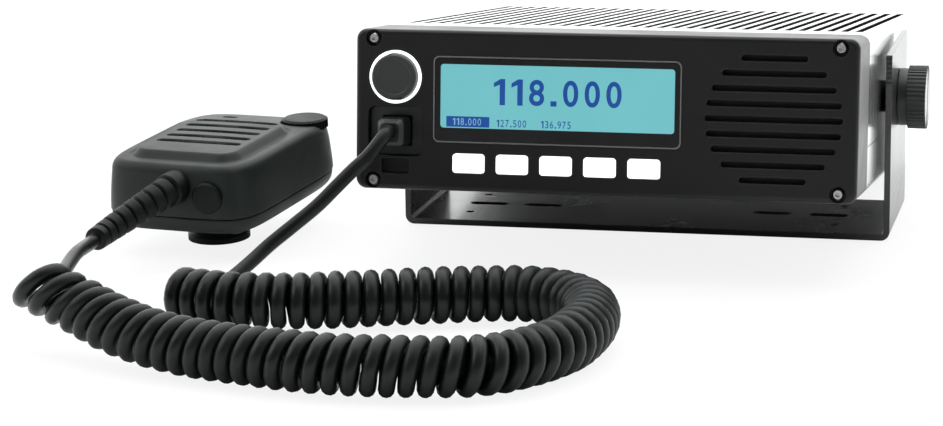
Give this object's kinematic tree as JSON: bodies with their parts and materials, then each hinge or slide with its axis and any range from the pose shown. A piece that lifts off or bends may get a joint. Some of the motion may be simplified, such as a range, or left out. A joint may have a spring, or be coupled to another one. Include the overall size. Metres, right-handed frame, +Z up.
{
  "type": "panel-mount airband transceiver with fist microphone",
  "caption": "Airband radio in a tilting U bracket, with a lit display, push keys, selector knob, slotted speaker grille, finned top, and a fist microphone on a curly cord.",
  "frame": {"origin": "middle of the underside of the bracket's base, on the surface that the radio stands on", "axes": "+X to the right as the front panel is read, +Y from the front panel to the rear, +Z up"},
  "size_m": [0.3133, 0.444, 0.0933],
  "materials": {
    "bracket_black": "gloss",
    "cord_rubber": "satin",
    "panel_black": "satin",
    "bezel_grey": "gloss",
    "display_glass": "gloss",
    "lcd": "lit",
    "lit_white": "lit",
    "key_mat": "matte",
    "board_green": "satin",
    "steel": "brushed",
    "black_plastic": "matte",
    "black_rubber": "matte",
    "speaker_cloth": "matte",
    "black_steel": "satin",
    "speaker_paper": "matte",
    "anodised_black": "anodised satin",
    "screw_steel": "bright",
    "nickel": "plated",
    "knob_black": "satin",
    "cap_grey": "satin",
    "mic_plastic": "fine texture",
    "mic_rubber": "matte"
  },
  "bodies": {
    "stand": {"bracket": "bracket_black", "cord_lead": "cord_rubber", "cord_coil": "cord_rubber", "cord_tail": "cord_rubber"},
    "radio": {"front_panel": "panel_black", "display_bezel": "bezel_grey", "display_glass": "display_glass", "display_module": "lcd", "knob_light_ring": "lit_white", "key_mat": "key_mat", "control_board": "board_green", "encoder_body": "steel", "jack_housing": "black_plastic", "mic_plug": "black_rubber", "speaker_mesh": "speaker_cloth", "speaker_frame": "black_steel", "speaker_cone": "speaker_paper", "speaker_magnet": "steel", "heatsink_shell": "anodised_black", "bottom_cover": "anodised_black", "rear_panel": "panel_black", "panel_screws": "screw_steel", "rear_screws": "screw_steel", "main_board": "board_green", "shield_can": "steel", "power_module": "steel", "antenna_connector": "nickel", "power_connector": "black_plastic", "data_connector": "nickel", "ground_stud": "nickel", "pivot_bosses": "black_steel"},
    "key_1": {"key_1": "lit_white"},
    "key_2": {"key_2": "lit_white"},
    "key_3": {"key_3": "lit_white"},
    "key_4": {"key_4": "lit_white"},
    "key_5": {"key_5": "lit_white"},
    "encoder_push": {"encoder_plunger": "steel"},
    "selector": {"select_knob": "knob_black", "encoder_shaft": "steel"},
    "clamp_left": {"clamp_knob_left": "knob_black", "clamp_cap_left": "cap_grey", "clamp_stud_left": "steel"},
    "clamp_right": {"clamp_knob_right": "knob_black", "clamp_cap_right": "cap_grey", "clamp_stud_right": "steel"},
    "microphone": {"mic_front_shell": "mic_plastic", "mic_back_shell": "mic_plastic", "mic_hang_stud": "mic_plastic", "mic_board": "board_green", "mic_capsule": "steel", "mic_bung": "mic_rubber", "mic_screws": "screw_steel", "strain_relief": "black_rubber"},
    "talk_key": {"mic_ptt": "mic_rubber"},
    "mic_dial": {"mic_dial": "mic_plastic"}
  },
  "joints": [
    {"name": "radio_tilt", "type": "hinge", "parent": "stand", "child": "radio", "pos_m": [0, 0, 0.0524], "axis": [1, 0, 0], "range_deg": [-2.4, 15.4], "deforming": ["cord_lead"]},
    {"name": "key_1_press", "type": "slide", "parent": "radio", "child": "key_1", "axis": [0, 0.9942, -0.108], "range_m": [0, 0.001], "stiffness_N_per_m": 600, "springref_m": -0.0008},
    {"name": "key_2_press", "type": "slide", "parent": "radio", "child": "key_2", "axis": [0, 0.9942, -0.108], "range_m": [0, 0.001], "stiffness_N_per_m": 600, "springref_m": -0.0008},
    {"name": "key_3_press", "type": "slide", "parent": "radio", "child": "key_3", "axis": [0, 0.9942, -0.108], "range_m": [0, 0.001], "stiffness_N_per_m": 600, "springref_m": -0.0008},
    {"name": "key_4_press", "type": "slide", "parent": "radio", "child": "key_4", "axis": [0, 0.9942, -0.108], "range_m": [0, 0.001], "stiffness_N_per_m": 600, "springref_m": -0.0008},
    {"name": "key_5_press", "type": "slide", "parent": "radio", "child": "key_5", "axis": [0, 0.9942, -0.108], "range_m": [0, 0.001], "stiffness_N_per_m": 600, "springref_m": -0.0008},
    {"name": "selector_push", "type": "slide", "parent": "radio", "child": "encoder_push", "axis": [0, 0.9942, -0.108], "range_m": [0, 0.0008], "stiffness_N_per_m": 1500, "springref_m": -0.001},
    {"name": "selector_turn", "type": "hinge", "parent": "encoder_push", "child": "selector", "pos_m": [-0.0793, -0.11716, 0.07574], "axis": [0, -0.9942, 0.108], "continuous": true},
    {"name": "clamp_left_turn", "type": "hinge", "parent": "radio", "child": "clamp_left", "pos_m": [-0.105, 0, 0.0524], "axis": [-1, 0, 0], "continuous": true},
    {"name": "clamp_right_turn", "type": "hinge", "parent": "radio", "child": "clamp_right", "pos_m": [0.105, 0, 0.0524], "axis": [1, 0, 0], "continuous": true},
    {"name": "mic_lift", "type": "slide", "parent": "stand", "child": "microphone", "axis": [0, 0, 1], "range_m": [0, 0.09], "deforming": ["cord_tail"]},
    {"name": "talk_key_press", "type": "slide", "parent": "microphone", "child": "talk_key", "axis": [0.9893, -0.1461, 0], "range_m": [0, 0.0012], "stiffness_N_per_m": 1500, "springref_m": -0.001},
    {"name": "mic_dial_turn", "type": "hinge", "parent": "microphone", "child": "mic_dial", "pos_m": [-0.13986, -0.03687, 0.04133], "axis": [-0.0087, -0.0587, 0.9982], "range_deg": [-140, 140]}
  ]
}
